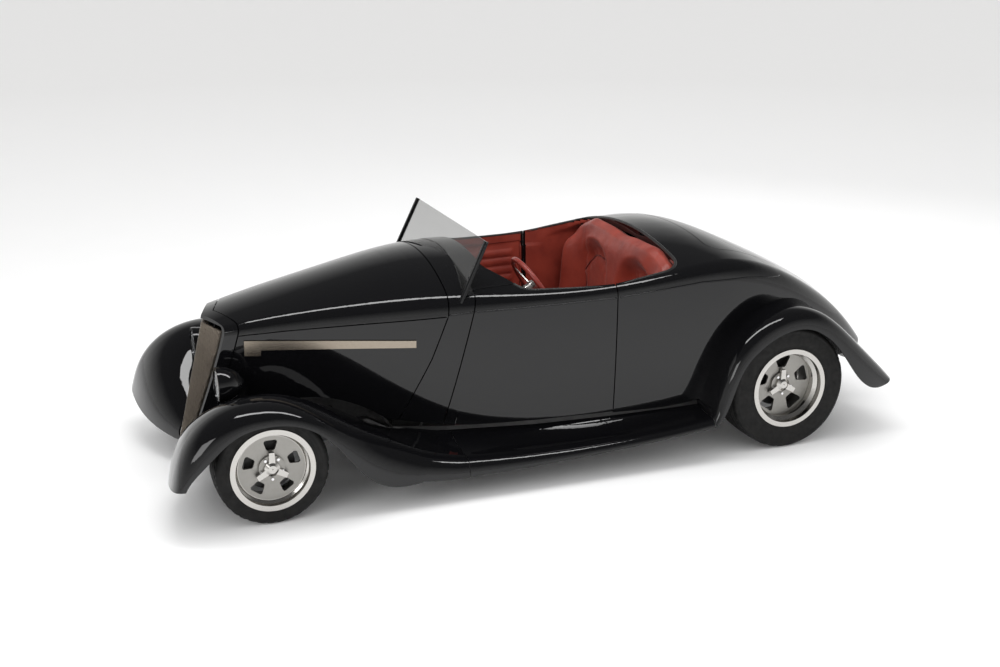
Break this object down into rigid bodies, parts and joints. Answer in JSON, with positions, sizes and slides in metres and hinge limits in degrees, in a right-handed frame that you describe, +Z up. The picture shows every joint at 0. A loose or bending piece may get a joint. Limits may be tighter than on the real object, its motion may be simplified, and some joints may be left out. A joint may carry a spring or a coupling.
{
  "type": "street roadster",
  "caption": "Low open two-seat street roadster with long tapered hood, raked prow grille, flowing fenders, running boards, slotted wheels, flat windshield and domed tail.",
  "frame": {"origin": "on the ground, at the middle of the overall length and width", "axes": "+X forward along the car, +Y to the car's left, +Z up"},
  "size_m": [4.09, 1.7258, 1.2587],
  "materials": {
    "body_paint": "deep gloss black",
    "frame_paint": "satin black",
    "grille_bronze": "dark pewter, brushed",
    "vent_metal": "satin polished",
    "lamp_chrome": "polished",
    "lamp_glass": "clear",
    "screen_glass": "smoked grey",
    "post_metal": "dark satin",
    "wheel_metal": "satin centre, polished lip",
    "tyre_rubber": "satin black",
    "leather_red": "oxblood, semi-matte",
    "floor_black": "matt",
    "engine_iron": "grey",
    "axle_steel": "satin black",
    "bare_steel": "machined",
    "steer_wheel": "red rim, polished spokes"
  },
  "bodies": {
    "chassis": {"frame": "frame_paint", "engine": "engine_iron", "drive_line": "axle_steel", "exhaust": "bare_steel", "front_axle": "axle_steel", "rear_axle": "axle_steel", "floor": "floor_black", "trunk_floor": "floor_black", "firewall": "floor_black", "cowl": "body_paint", "rear_body": "body_paint", "wheel_tubs": "frame_paint", "hood_sides": "body_paint", "hood_vents": "vent_metal", "grille_shell": "body_paint", "grille_bars": "grille_bronze", "headlamp_shells": "lamp_chrome", "headlamp_lenses": "lamp_glass", "front_fenders": "body_paint", "running_boards": "body_paint", "rear_fenders": "body_paint", "windshield_glass": "screen_glass", "windshield_posts": "post_metal", "dash": "body_paint", "seat_cushion": "leather_red", "seat_back": "leather_red", "steering_column": "bare_steel"},
    "hood": {"hood_top": "body_paint"},
    "lid": {"deck_lid": "body_paint"},
    "left_door": {"door_left": "body_paint", "door_trim_left": "leather_red"},
    "right_door": {"door_right": "body_paint", "door_trim_right": "leather_red"},
    "steering": {"steering_wheel": "steer_wheel"},
    "left_knuckle": {"knuckle_left": "axle_steel"},
    "right_knuckle": {"knuckle_right": "axle_steel"},
    "track_rod": {"tie_rod": "bare_steel"},
    "front_left_wheel": {"rim_front_left": "wheel_metal", "tyre_front_left": "tyre_rubber"},
    "front_right_wheel": {"rim_front_right": "wheel_metal", "tyre_front_right": "tyre_rubber"},
    "rear_left_wheel": {"rim_rear_left": "wheel_metal", "tyre_rear_left": "tyre_rubber"},
    "rear_right_wheel": {"rim_rear_right": "wheel_metal", "tyre_rear_right": "tyre_rubber"}
  },
  "joints": [
    {"name": "steer_left", "type": "hinge", "parent": "chassis", "child": "left_knuckle", "pos_m": [1.565, 0.6, 0.28], "axis": [0, 0, 1], "range_deg": [-28, 28]},
    {"name": "steer_right", "type": "hinge", "parent": "chassis", "child": "right_knuckle", "pos_m": [1.565, -0.6, 0.28], "axis": [0, 0, 1], "range_deg": [-30, 30]},
    {"name": "track_rod_pivot", "type": "hinge", "parent": "left_knuckle", "child": "track_rod", "pos_m": [1.465, 0.6, 0.206], "axis": [0, 0, 1], "range_deg": [-30, 30]},
    {"name": "steering_turn", "type": "hinge", "parent": "chassis", "child": "steering", "pos_m": [0.042, 0.33, 0.93], "axis": [-0.848, 0, 0.5299], "range_deg": [-346, 346]},
    {"name": "front_left_spin", "type": "hinge", "parent": "left_knuckle", "child": "front_left_wheel", "pos_m": [1.565, 0.695, 0.28], "axis": [0, 1, 0], "continuous": true},
    {"name": "front_right_spin", "type": "hinge", "parent": "right_knuckle", "child": "front_right_wheel", "pos_m": [1.565, -0.695, 0.28], "axis": [0, 1, 0], "continuous": true},
    {"name": "rear_left_spin", "type": "hinge", "parent": "chassis", "child": "rear_left_wheel", "pos_m": [-1.28, 0.68, 0.343], "axis": [0, 1, 0], "continuous": true},
    {"name": "rear_right_spin", "type": "hinge", "parent": "chassis", "child": "rear_right_wheel", "pos_m": [-1.28, -0.68, 0.343], "axis": [0, 1, 0], "continuous": true},
    {"name": "left_door_swing", "type": "hinge", "parent": "chassis", "child": "left_door", "pos_m": [-0.285, 0.6835, 0.62], "axis": [0, 0, 1], "range_deg": [0, 65]},
    {"name": "right_door_swing", "type": "hinge", "parent": "chassis", "child": "right_door", "pos_m": [-0.285, -0.6835, 0.62], "axis": [0, 0, -1], "range_deg": [0, 65]},
    {"name": "hood_tilt", "type": "hinge", "parent": "chassis", "child": "hood", "pos_m": [1.677, 0, 0.879], "axis": [0, 1, 0], "range_deg": [0, 55]},
    {"name": "lid_tilt", "type": "hinge", "parent": "chassis", "child": "lid", "pos_m": [-0.945, 0, 1.124], "axis": [0, 1, 0], "range_deg": [0, 60]}
  ],
  "couplings": [
    {"joint": "steer_right", "follows": "steer_left", "ratio": 1},
    {"joint": "track_rod_pivot", "follows": "steer_left", "ratio": -1},
    {"joint": "steering_turn", "follows": "steer_left", "ratio": 12}
  ]
}
